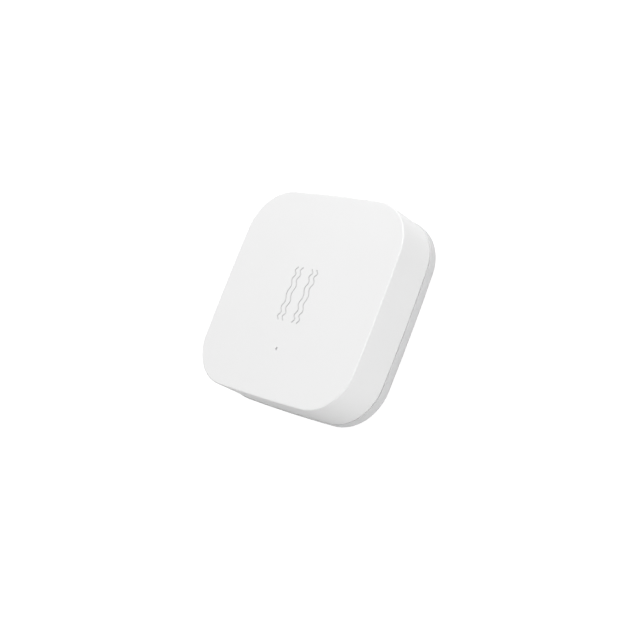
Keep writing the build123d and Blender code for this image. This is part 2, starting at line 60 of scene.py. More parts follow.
# Corners of the CAD pieces that the scene's own pieces follow
base_high = corners("base_plate")[1]
shell_high = corners("front_shell")[1]
pad_low, pad_high = corners("adhesive_pad")
liner_low, liner_high = corners("release_liner")
cushion_low, cushion_high = corners("cell_cushion")
board_low, board_high = corners("circuit_board")
holder_high = corners("battery_holder")[1]
can_low = corners("cell_can")[0]
side_spring_low = corners("positive_contact")[0]
leaf_high = corners("negative_contact")[1]
test_pads_low, test_pads_high = corners("test_pads")
radio_low, radio_high = corners("radio_chip")
sensor_low, sensor_high = corners("motion_sensor")
inductor_low, inductor_high = corners("power_inductor")

# The body's outline: four shallow side arcs that run into four corner arcs
side_radius = 470.0
corner_radius = 11.25
body_half = base_high[0]
board_half = board_high[0]


# Camera. It looks down at the tag from the right side and is rolled, so that the indicator's end
# of the tag hangs to the lower left of the picture.
aim_point = np.array([2.22, -2.93, 7.45])
camera_bearing = -11.77
camera_height = 44.71
camera_roll = 60.49
camera_distance = 255.5
camera_lens = 62.76


def direction(bearing, height):
    """A unit vector at a bearing from +X and a height above the floor, in degrees."""
    bearing, height = math.radians(bearing), math.radians(height)
    level = math.cos(height)
    return np.array([math.cos(bearing) * level, math.sin(bearing) * level, math.sin(height)])


def place_camera():
    """Sets the camera back from the aim point and rolls it about its own line of sight."""
    back = direction(camera_bearing, camera_height)
    level_right = np.cross([0, 0, 1], back)
    level_right = level_right / np.linalg.norm(level_right)
    level_up = np.cross(back, level_right)
    roll = math.radians(camera_roll)
    right = level_right * math.cos(roll) - level_up * math.sin(roll)
    up = np.cross(back, right)
    camera = bpy.data.objects.new("camera", bpy.data.cameras.new("camera"))
    camera.data.lens = camera_lens
    camera.data.sensor_width = 36
    camera.data.clip_start = 0.01
    camera.data.clip_end = 20
    turn = np.eye(4)
    turn[:3, :3] = np.column_stack([right, up, back])
    turn[:3, 3] = (aim_point + back * camera_distance) * MM
    camera.matrix_world = Matrix(turn.tolist())
    bpy.context.scene.collection.objects.link(camera)
    bpy.context.scene.camera = camera


place_camera()


# Finishes: first what they share, and then one for each real material
def linear(colour):
    """An sRGB hex colour as linear red, green, blue and alpha."""
    parts = np.array([int(colour[i : i + 2], 16) for i in (1, 3, 5)]) / 255
    low, high = parts / 12.92, ((parts + 0.055) / 1.055) ** 2.4
    return (*np.where(parts <= 0.04045, low, high).tolist(), 1.0)


def node(tree, kind, settings=None, **inputs):
    """Adds a node with its settings, and sets or links its inputs. An input goes by its label,
    with underscores for spaces, or by i and its number, and takes a value or another node's
    output."""
    made = tree.nodes.new(kind)
    for name, value in (settings or {}).items():
        setattr(made, name, value)
    for name, value in inputs.items():
        numbered = name[0] == "i" and name[1:].isdigit()
        socket = made.inputs[int(name[1:]) if numbered else name.replace("_", " ")]
        if isinstance(value, bpy.types.NodeSocket):
            tree.links.new(value, socket)
        else:
            socket.default_value = value
    return made


def finish(name, **inputs):
    """A node material with a Principled shader. Values go on the shader's sockets as they are.
    Returns the material, its tree, the shader and the Object coordinates."""
    material = bpy.data.materials.new(name)
    material.use_nodes = True
    tree = material.node_tree
    tree.nodes.clear()
    shader = node(tree, "ShaderNodeBsdfPrincipled", **inputs)
    node(tree, "ShaderNodeOutputMaterial", Surface=shader.outputs[0])
    place = node(tree, "ShaderNodeTexCoord").outputs["Object"]
    return material, tree, shader, place


def mottle(tree, place, size, first, second, detail=2.0, stretch=(1, 1, 1)):
    """Two colours mixed by noise whose patches are about size wide, in millimetres. Returns the
    colour and the noise."""
    scaled = node(tree, "ShaderNodeMapping", Vector=place, Scale=stretch)
    noise = node(
        tree, "ShaderNodeTexNoise", Vector=scaled.outputs[0], Scale=1 / (size * MM), Detail=detail
    )
    mixed = node(
        tree,
        "ShaderNodeMix",
        {"data_type": "RGBA"},
        i0=noise.outputs["Fac"],
        i6=linear(first),
        i7=linear(second),
    )
    return mixed.outputs[2], noise.outputs["Fac"]


def dress(tree, shader, colour, sheen, low, high, height, depth):
    """Gives the shader its colour, a roughness that follows sheen from low to high, and a relief
    that follows height and is depth deep, in millimetres."""
    roughness = node(tree, "ShaderNodeMapRange", Value=sheen, To_Min=low, To_Max=high)
    bump = node(tree, "ShaderNodeBump", Height=height, Distance=depth * MM)
    tree.links.new(colour, shader.inputs["Base Color"])
    tree.links.new(roughness.outputs[0], shader.inputs["Roughness"])
    tree.links.new(bump.outputs[0], shader.inputs["Normal"])


def wave_scale(period):
    """Scale at which a wave texture repeats after that many millimetres: its own period is a tenth
    of pi."""
    return math.pi / 10 / (period * MM)


def inside_box(tree, place, low, high):
    """One inside a box given by its corners in millimetres, and nought outside it."""
    parts = node(tree, "ShaderNodeSeparateXYZ", Vector=place)
    inside = 1.0
    for axis, label in enumerate("XYZ"):
        near = node(
            tree,
            "ShaderNodeMath",
            {"operation": "COMPARE"},
            i0=parts.outputs[label],
            i1=(low[axis] + high[axis]) / 2 * MM,
            i2=(high[axis] - low[axis]) / 2 * MM,
        )
        inside = node(
            tree, "ShaderNodeMath", {"operation": "MULTIPLY"}, i0=inside, i1=near.outputs[0]
        ).outputs[0]
    return inside


def shell_plastic():
    """White ABS, moulded in a spark-eroded mould: an even, neutral white, matt and with a very
    fine grain. The floors and walls of the engraved waves are tinted light grey: painted shade in
    the grooves."""
    material, tree, shader, place = finish("white_moulded_abs", IOR=1.53)
    colour, cloud = mottle(tree, place, 16, "#EFEFEF", "#F2F2F2")
    # Inside the waves' box the white is mixed with light grey: painted shade in the engraved
    # grooves
    colour = node(
        tree,
        "ShaderNodeMix",
        {"data_type": "RGBA"},
        i0=inside_box(tree, place, groove_shade_low, groove_shade_high),
        i6=colour,
        i7=linear("#D4D4D4"),
    ).outputs[2]
    grain = node(
        tree, "ShaderNodeTexNoise", Vector=place, Scale=1 / (0.3 * MM), Detail=3.0
    ).outputs["Fac"]
    dress(tree, shader, colour, cloud, low=0.68, high=0.76, height=grain, depth=0.004)
    return material


def base_plastic():
    """Light grey ABS from the same kind of mould, with a little more sheen than the shell."""
    material, tree, shader, place = finish("grey_moulded_abs", IOR=1.53)
    colour, cloud = mottle(tree, place, 12, "#D6D6D7", "#DBDBDB")
    grain = node(
        tree, "ShaderNodeTexNoise", Vector=place, Scale=1 / (0.35 * MM), Detail=3.0
    ).outputs["Fac"]
    dress(tree, shader, colour, cloud, low=0.48, high=0.58, height=grain, depth=0.006)
    return material


def foam_tape():
    """Closed-cell acrylic foam tape, die cut: a dull off-white whose edge shows tiny cut cells."""
    material, tree, shader, place = finish("acrylic_foam_tape", IOR=1.48)
    colour, cloud = mottle(tree, place, 1.2, "#E4E2DB", "#EDEBE5", detail=4.0)
    cells = node(
        tree, "ShaderNodeTexVoronoi", {"feature": "SMOOTH_F1"}, Vector=place, Scale=1 / (0.22 * MM)
    )
    relief = cells.outputs["Distance"]
    dress(tree, shader, colour, cloud, low=0.8, high=0.9, height=relief, depth=0.06)
    return material


def liner_paper():
    """Siliconised release paper: warm cream, smooth and slightly glossy, with faint fibres."""
    material, tree, shader, place = finish(
        "release_paper", IOR=1.45, Coat_Weight=0.35, Coat_Roughness=0.3
    )
    colour, fibre = mottle(
        tree, place, 0.8, "#E6DABA", "#EFE6CC", detail=5.0, stretch=(1.0, 0.25, 1.0)
    )
    dress(tree, shader, colour, fibre, low=0.4, high=0.55, height=fibre, depth=0.01)
    return material


def soft_foam():
    """Open-cell polyurethane foam, punched from sheet: charcoal, dull, with open pores that are
    darker in their hollows as painted shade.
    """
    material, tree, shader, place = finish("open_cell_foam", IOR=1.5)
    pores = node(
        tree, "ShaderNodeTexVoronoi", {"feature": "SMOOTH_F1"}, Vector=place, Scale=1 / (0.4 * MM)
    ).outputs["Distance"]
    # The colour follows the pores' relief, darkest in the hollows and lighter grey on the cell
    # walls: painted shade in the pores over the foam's own charcoal
    colour = node(
        tree,
        "ShaderNodeMix",
        {"data_type": "RGBA"},
        i0=pores,
        i6=linear("#262627"),
        i7=linear("#505052"),
    ).outputs[2]
    dress(tree, shader, colour, pores, low=0.9, high=1.0, height=pores, depth=0.16)
    return material


def clear_plastic():
    """Moulded polycarbonate light guide with a frosted end: a pale, slightly milky glassy spot."""
    material, tree, shader, place = finish(
        "frosted_polycarbonate", IOR=1.58, Transmission_Weight=0.4
    )
    colour, haze = mottle(tree, place, 0.5, "#DCDEDF", "#E8E9EA")
    dress(tree, shader, colour, haze, low=0.3, high=0.4, height=haze, depth=0.004)
    return material


def board_laminate():
    """Glass-epoxy laminate under green solder mask: a glossy deep green film over a faint weave,
    with the bare yellowish laminate showing on the routed edge and in the holes."""
    material, tree, shader, place = finish(
        "solder_masked_laminate", IOR=1.5, Coat_Weight=0.4, Coat_Roughness=0.12
    )
    colour, cloud = mottle(tree, place, 6, "#0E4A2B", "#125634", detail=3.0)
    film = 0.02
    colour = node(
        tree,
        "ShaderNodeMix",
        {"data_type": "RGBA"},
        i0=inside_box(tree, place, board_low + (-1, -1, film), board_high + (1, 1, -film)),
        i6=colour,
        i7=linear("#A39A5E"),
    ).outputs[2]
    weave = node(
        tree,
        "ShaderNodeTexWave",
        {"wave_type": "BANDS", "bands_direction": "DIAGONAL"},
        Vector=place,
        Scale=wave_scale(0.6),
        Distortion=0.4,
    )
    relief = weave.outputs["Fac"]
    dress(tree, shader, colour, cloud, low=0.28, high=0.36, height=relief, depth=0.002)
    return material


def track_mask():
    """Solder mask over copper: the same green, lighter and warmer where copper lies under it."""
    material, tree, shader, place = finish(
        "solder_masked_copper", IOR=1.5, Coat_Weight=0.4, Coat_Roughness=0.12
    )
    colour, cloud = mottle(tree, place, 3, "#1F6A3C", "#267543")
    grain = node(
        tree, "ShaderNodeTexNoise", Vector=place, Scale=1 / (0.2 * MM), Detail=3.0
    ).outputs["Fac"]
    dress(tree, shader, colour, cloud, low=0.26, high=0.34, height=grain, depth=0.002)
    return material


def metal(name, first, second, low, high, size, depth, stretch=(1, 1, 1)):
    """A metal with two close tones, and a fine grain that is drawn out where the metal was rolled
    or brushed. Roughness and relief follow the grain."""
    material, tree, shader, place = finish(name, Metallic=1.0)
    colour, _ = mottle(tree, place, 5, first, second)
    _, lines = mottle(tree, place, size, first, second, detail=4.0, stretch=stretch)
    dress(tree, shader, colour, lines, low, high, lines, depth)
    return material


def zinc_steel():
    """Zinc-plated steel screws, cold headed: bright bluish grey with a slightly crystalline
    skin."""
    return metal(
        "zinc_plated_steel", "#B9BEC4", "#CFD3D6", low=0.25, high=0.42, size=0.3, depth=0.004
    )


def nickel_spring():
    """Nickel-plated spring bronze, stamped from strip: warm silver with fine lines along the
    strip."""
    return metal(
        "nickel_plated_bronze",
        "#CFC7B6",
        "#DED7C8",
        low=0.16,
        high=0.32,
        size=0.3,
        depth=0.003,
        stretch=(0.1, 1, 1),
    )


def nickel_can():
    """Nickel-plated sheet lids of crystals and of the switch: a softly brushed warm silver."""
    return metal(
        "brushed_nickel_sheet",
        "#C2BFB8",
        "#D2CFC8",
        low=0.24,
        high=0.38,
        size=0.2,
        depth=0.003,
        stretch=(0.15, 1, 1),
    )


def gold_copper():
    """Gold flash over nickel and copper, as on bare pads: thin, even, warm yellow and bright."""
    return metal(
        "gold_flashed_copper", "#D0A85C", "#DDB96E", low=0.22, high=0.34, size=0.4, depth=0.003
    )


def solder():
    """Reflowed lead-free solder: bright grey tin with a slightly grainy, rounded skin."""
    return metal(
        "reflowed_solder", "#BDBFC0", "#D3D4D4", low=0.25, high=0.45, size=0.15, depth=0.006
    )


def cell_steel():
    """Nickel-plated stainless steel of a coin cell, drawn and then tumbled: a bright, slightly
    warm silver with faint circular lines round the cell's axis. The real lines are finer than 0.1
    mm and are drawn coarser here, so that they show."""
    material, tree, shader, place = finish("tumbled_stainless_steel", Metallic=1.0)
    colour, _ = mottle(tree, place, 4, "#C4C3C0", "#D6D5D2")
    rings = node(
        tree,
        "ShaderNodeTexWave",
        {"wave_type": "RINGS", "rings_direction": "Z"},
        Vector=place,
        Scale=wave_scale(0.3),
        Distortion=0.6,
        Detail=2.0,
    ).outputs["Fac"]
    grain = node(tree, "ShaderNodeTexNoise", Vector=place, Scale=1 / (0.6 * MM), Detail=3.0)
    ring_share = 0.4
    lines = node(
        tree,
        "ShaderNodeMath",
        {"operation": "MULTIPLY_ADD"},
        i0=rings,
        i1=ring_share,
        i2=grain.outputs["Fac"],
    ).outputs[0]
    dress(tree, shader, colour, lines, low=0.14, high=0.3, height=rings, depth=0.0008)
    return material


def moulded(name, first, second, roughness, size, depth, **inputs):
    """A small moulded, cast or fired part: two close tones, a fine grain whose grains are about
    size wide, in millimetres, and an uneven sheen."""
    material, tree, shader, place = finish(name, **inputs)
    colour, cloud = mottle(tree, place, 2.5, first, second, detail=3.0)
    uneven = 0.05
    grain = node(
        tree, "ShaderNodeTexNoise", Vector=place, Scale=1 / (size * MM), Detail=3.0
    ).outputs["Fac"]
    dress(tree, shader, colour, cloud, roughness - uneven, roughness + uneven, grain, depth)
    return material


def holder_plastic():
    """Glass-filled nylon of the battery holder: dull black with the faint haze of its fibres."""
    return moulded(
        "glass_filled_nylon", "#161617", "#242426", roughness=0.5, size=0.3, depth=0.012, IOR=1.53
    )


def chip_resin():
    """Transfer-moulded epoxy of the chips: matt near-black with a fine sandy grain."""
    return moulded(
        "moulded_epoxy", "#1A1A1C", "#232326", roughness=0.6, size=0.12, depth=0.008, IOR=1.55
    )


def ferrite():
    """Sintered ferrite of the inductor: dark stone grey with a powdery, slightly pitted skin."""
    return moulded(
        "sintered_ferrite", "#39393B", "#4A4A4C", roughness=0.65, size=0.15, depth=0.02, IOR=1.6
    )


def ceramic():
    """Fired barium titanate of the capacitors: an even tan, like unglazed pottery."""
    return moulded(
        "fired_titanate", "#A98259", "#B98F64", roughness=0.5, size=0.12, depth=0.006, IOR=1.6
    )


def resistor_glaze():
    """Glass glaze on the resistors' backs: shiny black."""
    return moulded(
        "black_glass_glaze", "#101012", "#18181A", roughness=0.22, size=0.2, depth=0.003, IOR=1.5
    )


def led_resin():
    """Clear epoxy over the indicator light's chip: pale, slightly yellow and glassy."""
    return moulded(
        "clear_epoxy",
        "#EDE8C8",
        "#F3EFD8",
        roughness=0.2,
        size=0.3,
        depth=0.002,
        IOR=1.5,
        Transmission_Weight=0.25,
    )


def switch_plastic():
    """High-temperature nylon of the switch body: smooth dull black."""
    return moulded(
        "black_nylon", "#1B1B1C", "#232324", roughness=0.45, size=0.25, depth=0.006, IOR=1.53
    )


def plunger_plastic():
    """Natural nylon of the switch plunger: milky off-white and a little waxy."""
    return moulded(
        "natural_nylon", "#DCD9CF", "#E5E2D9", roughness=0.4, size=0.25, depth=0.004, IOR=1.53
    )


def gasket_plastic():
    """Polypropylene gasket of the cell: a waxy dark band between the two steel cups."""
    return moulded(
        "polypropylene", "#1D1E1F", "#2A2B2C", roughness=0.4, size=0.25, depth=0.006, IOR=1.49
    )


def cell_filling():
    """Pressed electrode powder inside the cell: dark grey and crumbly."""
    return moulded(
        "pressed_powder", "#2A2A2B", "#3A3A3B", roughness=0.85, size=0.2, depth=0.04, IOR=1.5
    )


def legend_ink():
    """Screen-printed legend ink on the board: thin flat white with slightly ragged cover."""
    return moulded(
        "legend_ink", "#DADDD8", "#E8EAE6", roughness=0.55, size=0.15, depth=0.006, IOR=1.5
    )


# A box that holds the floors and walls of the engraved waves, but not the front face over them:
# inside it the white is tinted grey as painted shade in the grooves
wave_half_x, wave_half_y = 4.4, 7.2
under_face, past_floor = 0.01, 0.3
groove_shade_low = np.array([-wave_half_x, -wave_half_y, shell_high[2] - past_floor])
groove_shade_high = np.array([wave_half_x, wave_half_y, shell_high[2] - under_face])

finish_makers = {
    "shell_plastic": shell_plastic,
    "base_plastic": base_plastic,
    "foam_tape": foam_tape,
    "liner_paper": liner_paper,
    "soft_foam": soft_foam,
    "clear_plastic": clear_plastic,
    "board_laminate": board_laminate,
    "zinc_steel": zinc_steel,
    "holder_plastic": holder_plastic,
    "nickel_spring": nickel_spring,
    "chip_resin": chip_resin,
    "nickel_can": nickel_can,
    "ferrite": ferrite,
    "ceramic": ceramic,
    "resistor_glaze": resistor_glaze,
    "led_resin": led_resin,
    "gold_copper": gold_copper,
    "switch_plastic": switch_plastic,
    "switch_plunger_plastic": plunger_plastic,
    "cell_steel": cell_steel,
    "gasket_plastic": gasket_plastic,
    "cell_filling": cell_filling,
}
finishes = {slot: make() for slot, make in finish_makers.items()}
finishes["track_mask"] = track_mask()
finishes["solder"] = solder()
finishes["legend_ink"] = legend_ink()

for row in frame["record"]["subparts"]:
    piece = frame["nodes"][row["node"]]
    for slot in piece.material_slots:
        slot.material = finishes[row["material_slot"]]


# Shapes. A shape is a pair: an array of points, in millimetres, and a list of faces.


def loft(rings, closed=False):
    """Skin over a stack of rings, an array of rings by points by three: each point is joined to
    the next one round its ring and to its twin on the next ring. The ends are capped, or
    joined."""
    rows, columns, _ = rings.shape
    row = np.arange(rows if closed else rows - 1)[:, None]
    column = np.arange(columns)[None, :]
    across = (column + 1) % columns
    above = (row + 1) % rows
    quads = np.stack(
        [
            row * columns + column,
            row * columns + across,
            above * columns + across,
            above * columns + column,
        ],
        axis=-1,
    )
    faces = quads.reshape(-1, 4).tolist()
    if not closed:
        ring = np.arange(columns)
        faces.append(ring[::-1].tolist())
        faces.append((ring + (rows - 1) * columns).tolist())
    return rings.reshape(-1, 3), faces


def add_piece(name, shapes, body, material, sharp=40.0):
    """One mesh of several shapes, riding on a body. Points that meet are merged, faces are turned
    outwards, and edges that bend by less than the sharp angle are shaded smooth."""
    points, faces, count = [], [], 0
    for shape_points, shape_faces in shapes:
        points.append(shape_points)
        faces.extend([[index + count for index in face] for face in shape_faces])
        count += len(shape_points)
    mesh = bpy.data.meshes.new(name)
    mesh.from_pydata((np.concatenate(points) * MM).tolist(), [], faces)
    work = bmesh.new()
    work.from_mesh(mesh)
    bmesh.ops.remove_doubles(work, verts=work.verts, dist=0.0005 * MM)
    bmesh.ops.recalc_face_normals(work, faces=work.faces)
    for face in work.faces:
        face.smooth = True
    for edge in work.edges:
        edge.smooth = edge.calc_face_angle(0.0) < math.radians(sharp)
    work.to_mesh(mesh)
    work.free()
    mesh.materials.append(finishes[material])
    piece = bpy.data.objects.new(name, mesh)
    bpy.context.scene.collection.objects.link(piece)
    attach(piece, body)
    return piece


def lifted(outline, height):
    """A flat outline, an array of points by two, set at a height or at heights."""
    height = np.broadcast_to(height, outline.shape[:-1])
    return np.concatenate([outline, height[..., None]], axis=-1)


def layered(layers):
    """Skin over flat outlines one above the other, given as pairs of an outline and its height."""
    return loft(np.stack([lifted(outline, height) for outline, height in layers]))


def circle(radius, count, centre=(0, 0)):
    """Points evenly round a circle."""
    angle = np.arange(count) * 2 * np.pi / count
    return np.stack([np.cos(angle), np.sin(angle)], axis=-1) * radius + np.array(centre)


def rounded(half_x, half_y, corner, count, centre=(0, 0)):
    """Points evenly along a rectangle whose corners are quarter circles, anticlockwise from the
    middle of its right side."""
    quarter = np.linspace(0, np.pi / 2, 17)
    arcs = []
    for turns, (side_x, side_y) in enumerate(((1, 1), (-1, 1), (-1, -1), (1, -1))):
        bearing = quarter + turns * np.pi / 2
        arc_x = side_x * (half_x - corner) + corner * np.cos(bearing)
        arc_y = side_y * (half_y - corner) + corner * np.sin(bearing)
        arcs.append(np.stack([arc_x, arc_y], axis=-1))
    path = np.concatenate([[[half_x, 0.0]], *arcs, [[half_x, 0.0]]])
    length = np.concatenate([[0], np.cumsum(np.linalg.norm(np.diff(path, axis=0), axis=1))])
    along = np.arange(count) * length[-1] / count
    even = np.stack([np.interp(along, length, path[:, axis]) for axis in (0, 1)], axis=-1)
    return even + np.array(centre)


def body_outline(inset, count):
    """Points of the body's outline moved inwards. A ray from the middle at each bearing meets a
    side arc where the side's middle is near, and else a corner arc: the reach along the ray is the
    centre's part along it plus the root of the radius squared less the centre's part across it
    squared."""
    side_centre = body_half - side_radius
    reach = side_radius - corner_radius
    corner_centre = (math.sqrt(2 * reach**2 - side_centre**2) + side_centre) / 2
    start = math.atan2(corner_centre, corner_centre - side_centre)
    side_reach = side_radius - inset
    limit = math.atan2(side_reach * math.sin(start), side_centre + side_reach * math.cos(start))
    bearing = np.arange(count) * 2 * np.pi / count
    folded = (bearing + np.pi / 4) % (np.pi / 2) - np.pi / 4
    on_side = np.abs(folded) < limit
    centre_x = np.where(on_side, side_centre, corner_centre)
    centre_y = np.where(on_side, 0.0, corner_centre * np.sign(folded))
    radius = np.where(on_side, side_radius, corner_radius) - inset
    along = centre_x * np.cos(folded) + centre_y * np.sin(folded)
    across = centre_x * np.sin(folded) - centre_y * np.cos(folded)
    distance = along + np.sqrt(radius**2 - across**2)
    return np.stack([np.cos(bearing), np.sin(bearing)], axis=-1) * distance[:, None]


def block(low, high, edge, count=24):
    """A box with softened edges: rounded rectangles that draw in by edge at its foot and its
    top."""
    low, high = np.array(low, float), np.array(high, float)
    middle, half = (low + high)[:2] / 2, (high - low)[:2] / 2
    end = rounded(half[0] - edge, half[1] - edge, edge, count, middle)
    full = rounded(half[0], half[1], 2 * edge, count, middle)
    return layered(
        ((end, low[2]), (full, low[2] + edge), (full, high[2] - edge), (end, high[2]))
    )


def turned_left(runs):
    """Flat directions turned to the left by a quarter turn."""
    return np.stack([-runs[:, 1], runs[:, 0]], axis=-1)


def ribbon(path, width, low, high, closed=False):
    """A flat strip along a path of points by two: at each point two edges lie half a width to
    either side, along the mitre of the runs before and after it, at the strip's foot and its
    top."""
    path = np.array(path, float)
    runs = np.roll(path, -1, axis=0) - path if closed else np.diff(path, axis=0)
    runs = runs / np.linalg.norm(runs, axis=1)[:, None]
    before = np.roll(runs, 1, axis=0) if closed else np.concatenate([runs[:1], runs])
    after = runs if closed else np.concatenate([runs, runs[-1:]])
    mitre = turned_left(before) + turned_left(after)
    mitre = mitre / np.sum(mitre * turned_left(after), axis=1)[:, None]
    left, right = path + mitre * width / 2, path - mitre * width / 2
    section = np.stack(
        [lifted(right, low), lifted(left, low), lifted(left, high), lifted(right, high)], axis=1
    )
    return loft(section, closed)


def washer(centre, inner, outer, low, high, count):
    """A flat ring: its section is a rectangle between the inner and the outer circle."""
    section = ((inner, low), (outer, low), (outer, high), (inner, high))
    rings = np.stack([lifted(circle(radius, count, centre), level) for radius, level in section])
    return loft(np.swapaxes(rings, 0, 1), closed=True)


# Soft pieces under the tag and under the cell
def adhesive_foam():
    """The foam pad: rounded squares stacked from the liner to the seat in the base. Their inset is
    a shallow waist, largest half way up, plus a small pull-in at both faces and cut cells at
    random."""
    levels, around = 13, 720
    waist, face_round, cells = 0.1, 0.06, 0.025
    half = pad_high[0]
    rise = np.linspace(0, 1, levels)
    centred = 2 * rise - 1
    inset = waist * (1 - centred**2) + face_round * np.abs(centred) ** 12
    pits = np.random.default_rng(11).random((levels, around)) * cells * (1 - centred**8)[:, None]
    rings = []
    for index in range(levels):
        edge = rounded(half - inset[index], half - inset[index], pad_corner - inset[index], around)
        reach = np.linalg.norm(edge, axis=1)
        edge = edge * ((reach - pits[index]) / reach)[:, None]
        rings.append(lifted(edge, pad_low[2] + rise[index] * (pad_high[2] - pad_low[2])))
    return loft(np.stack(rings))


def liner_sheet():
    """The release liner: a thin sheet whose edge is the farther of a rounded square and a rounded
    tab, read along rays from the middle. Rings at rising shares of that reach make its underside,
    and the same rings going back make its top. Past the pad the tab curls up with the square of
    the distance."""
    around, edge_points = 720, 2000
    shares = np.concatenate([[0.02], np.linspace(0.1, 1.0, 19)])
    curl, curl_start = 0.4, pad_high[0] + 0.3
    half, tab_end = pad_high[0], -liner_low[1]
    tab_reach, tab_middle = (tab_end + tab_half) / 2, (0, (tab_half - tab_end) / 2)
    ray = np.arange(around) * 2 * np.pi / around
    reaches = []
    for edge in (
        rounded(half, half, pad_corner, edge_points),
        rounded(tab_half, tab_reach, tab_corner, edge_points, tab_middle),
    ):
        bearing = np.arctan2(edge[:, 1], edge[:, 0]) % (2 * np.pi)
        order = np.argsort(bearing)
        distance = np.linalg.norm(edge, axis=1)[order]
        reaches.append(np.interp(ray, bearing[order], distance, period=2 * np.pi))
    reach = np.maximum(*reaches)
    rim = np.stack([np.cos(ray), np.sin(ray)], axis=-1) * reach[:, None]
    sheet = rim[None] * shares[:, None, None]
    past = np.clip((-sheet[..., 1] - curl_start) / (tab_end - curl_start), 0, 1)
    under = lifted(sheet, liner_low[2] + curl * past**2)
    over = lifted(sheet, liner_high[2] + curl * past**2)
    return loft(np.concatenate([under, over[::-1]]))


def cell_foam():
    """The foam disc: circles whose radius swells half way up the side and rounds in at the top,
    then shrinks over a face that sinks a little towards the middle, with random open pores that
    fade out at the very middle."""
    around = 240
    swell, edge_round, sink = 0.1, 0.2, 0.05
    pore_depth, pore_fade, pore_lean = 0.06, 2.0, 0.5
    radius, low, high = cushion_high[0], cushion_low[2], cushion_high[2]
    side = np.linspace(0, 1, 9)
    shrink = np.linspace(1, 0.03, 24)[1:]
    reach = radius - swell + swell * np.sin(np.pi * side)
    reach[-1] = radius - edge_round
    level = low + side * (high - low)
    level[-2] = high - edge_round / 2
    reach = np.concatenate([reach, (radius - edge_round) * shrink])
    level = np.concatenate([level, high - sink * (1 - shrink**2)])
    random = np.random.default_rng(5).random((len(reach), around))
    pores = pore_depth * random**3 * np.clip(reach / pore_fade, 0, 1)[:, None]
    rings = np.stack([lifted(circle(r, around), z) for r, z in zip(reach, level)])
    rings[..., :2] *= (1 - pores * pore_lean / reach[:, None])[..., None]
    rings[1:, :, 2] -= pores[1:]
    return loft(rings)


# Corner of the pad and the liner, and the liner's pull tab
pad_corner = 5.0
tab_half = 4.5
tab_corner = 1.5

foam_pad = add_piece("foam_pad", [adhesive_foam()], "base", "foam_tape")
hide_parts("adhesive_pad")
liner = add_piece("peel_off_liner", [liner_sheet()], "base", "liner_paper")
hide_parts("release_liner")
cushion = add_piece("cushion_disc", [cell_foam()], "base", "soft_foam")
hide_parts("cell_cushion")


# What is printed, plated and soldered on the board
under_z, over_z = board_low[2], board_high[2]
copper = 0.035
plating = 0.042
ink = 0.02
via_bore, via_rim = 0.15, 0.32
pad_pitch = (test_pads_high[0] - test_pads_low[0] - (test_pads_high[1] - test_pads_low[1])) / 5
pad_row_y = (test_pads_high[1] + test_pads_low[1]) / 2
pad_x = pad_pitch * (np.arange(6) - 2.5)

# Tracks: width and spacing, where those from the test pads stop, and where those at the edge end
track_width, track_pitch = 0.25, 0.7
pad_track_x = pad_x * 0.75
pad_track_stop_y = -holder_high[1] - 1.2
edge_track_x = 19.3 - track_pitch * np.arange(4)
edge_track_end_y = -11.0


def under_tracks():
    """Tracks on the board's back. Six run from the test pads, step inwards by a quarter and stop
    at the holder. Four run as arcs round the holder's far half. Four leave the side spring's foot
    side by side, bend by 45 degrees and run along the board's edge."""
    paths = []
    pad_overlap, pad_lead = 0.2, 0.8
    foot_y = test_pads_high[1]
    for x, inner_x in zip(pad_x, pad_track_x):
        turn_y = foot_y + pad_lead
        paths.append(
            [
                (x, foot_y - pad_overlap),
                (x, turn_y),
                (inner_x, turn_y + abs(x - inner_x)),
                (inner_x, pad_track_stop_y),
            ]
        )
    arc_gap, arc_start, arc_trim = 1.4, 24, 5
    for index in range(4):
        start = arc_start + arc_trim * index
        angle = np.radians(np.linspace(start, 180 - start, 60))
        radius = holder_high[1] + arc_gap + track_pitch * index
        paths.append(np.stack([np.cos(angle), np.sin(angle)], axis=-1) * radius)
    foot_gap, first_y, bend = 1.6, -2.4, 1.2
    for index, end_x in enumerate(edge_track_x):
        y = first_y - track_pitch * index
        for side in (-1, 1):
            paths.append(
                [
                    (side * (holder_high[1] + foot_gap), y),
                    (side * (end_x - bend), y),
                    (side * end_x, y - bend),
                    (side * end_x, edge_track_end_y),
                ]
            )
    return [ribbon(path, track_width, under_z - copper, under_z) for path in paths]


def via_places():
    """Where the plated holes lie: a row that follows the board's edge, and the ends of the
    tracks."""
    edge_margin, antenna_half = 1.1, 9
    edge = body_outline(body_half - board_half + edge_margin, 56)
    clear_of_antenna = ~((edge[:, 0] > 0) & (np.abs(edge[:, 1]) < antenna_half))
    ends = [(x, pad_track_stop_y) for x in pad_track_x]
    ends += [(side * x, edge_track_end_y) for x in edge_track_x for side in (-1, 1)]
    return [*edge[clear_of_antenna].tolist(), *ends]


def vias():
    """Plated holes: a flat ring on each face of the board."""
    faces = ((under_z - plating, under_z), (over_z, over_z + plating))
    return [
        washer(place, via_bore, via_rim, low, high, 14)
        for place in via_places()
        for low, high in faces
    ]


def cross_outline(centre, half, arm):
    """The twelve corners of an upright plus sign."""
    x = np.array([half, half, arm, arm, -arm, -arm, -half, -half, -arm, -arm, arm, arm])
    y = np.array([-arm, arm, arm, half, half, arm, arm, -arm, -arm, -half, -half, -arm])
    return np.stack([x, y], axis=-1) + np.array(centre)


def legend_under():
    """White legend on the board's back: a line round the holder, a plus sign by the side spring,
    and a line round the row of test pads."""
    line, holder_gap = 0.15, 0.45
    low, high = under_z - ink, under_z
    inner = holder_high[1] + holder_gap
    ring = washer((0, 0), inner, inner + line, low, high, 160)
    cross = cross_outline((-15.2, 3.2), 0.8, 0.15)
    half_length, half_height, corner = 3 * pad_pitch, 1.15, 0.4
    row = rounded(half_length, half_height, corner, 80, (0, pad_row_y))
    plus = layered(((cross, low), (cross, high)))
    return [ring, plus, ribbon(row, line, low, high, closed=True)]


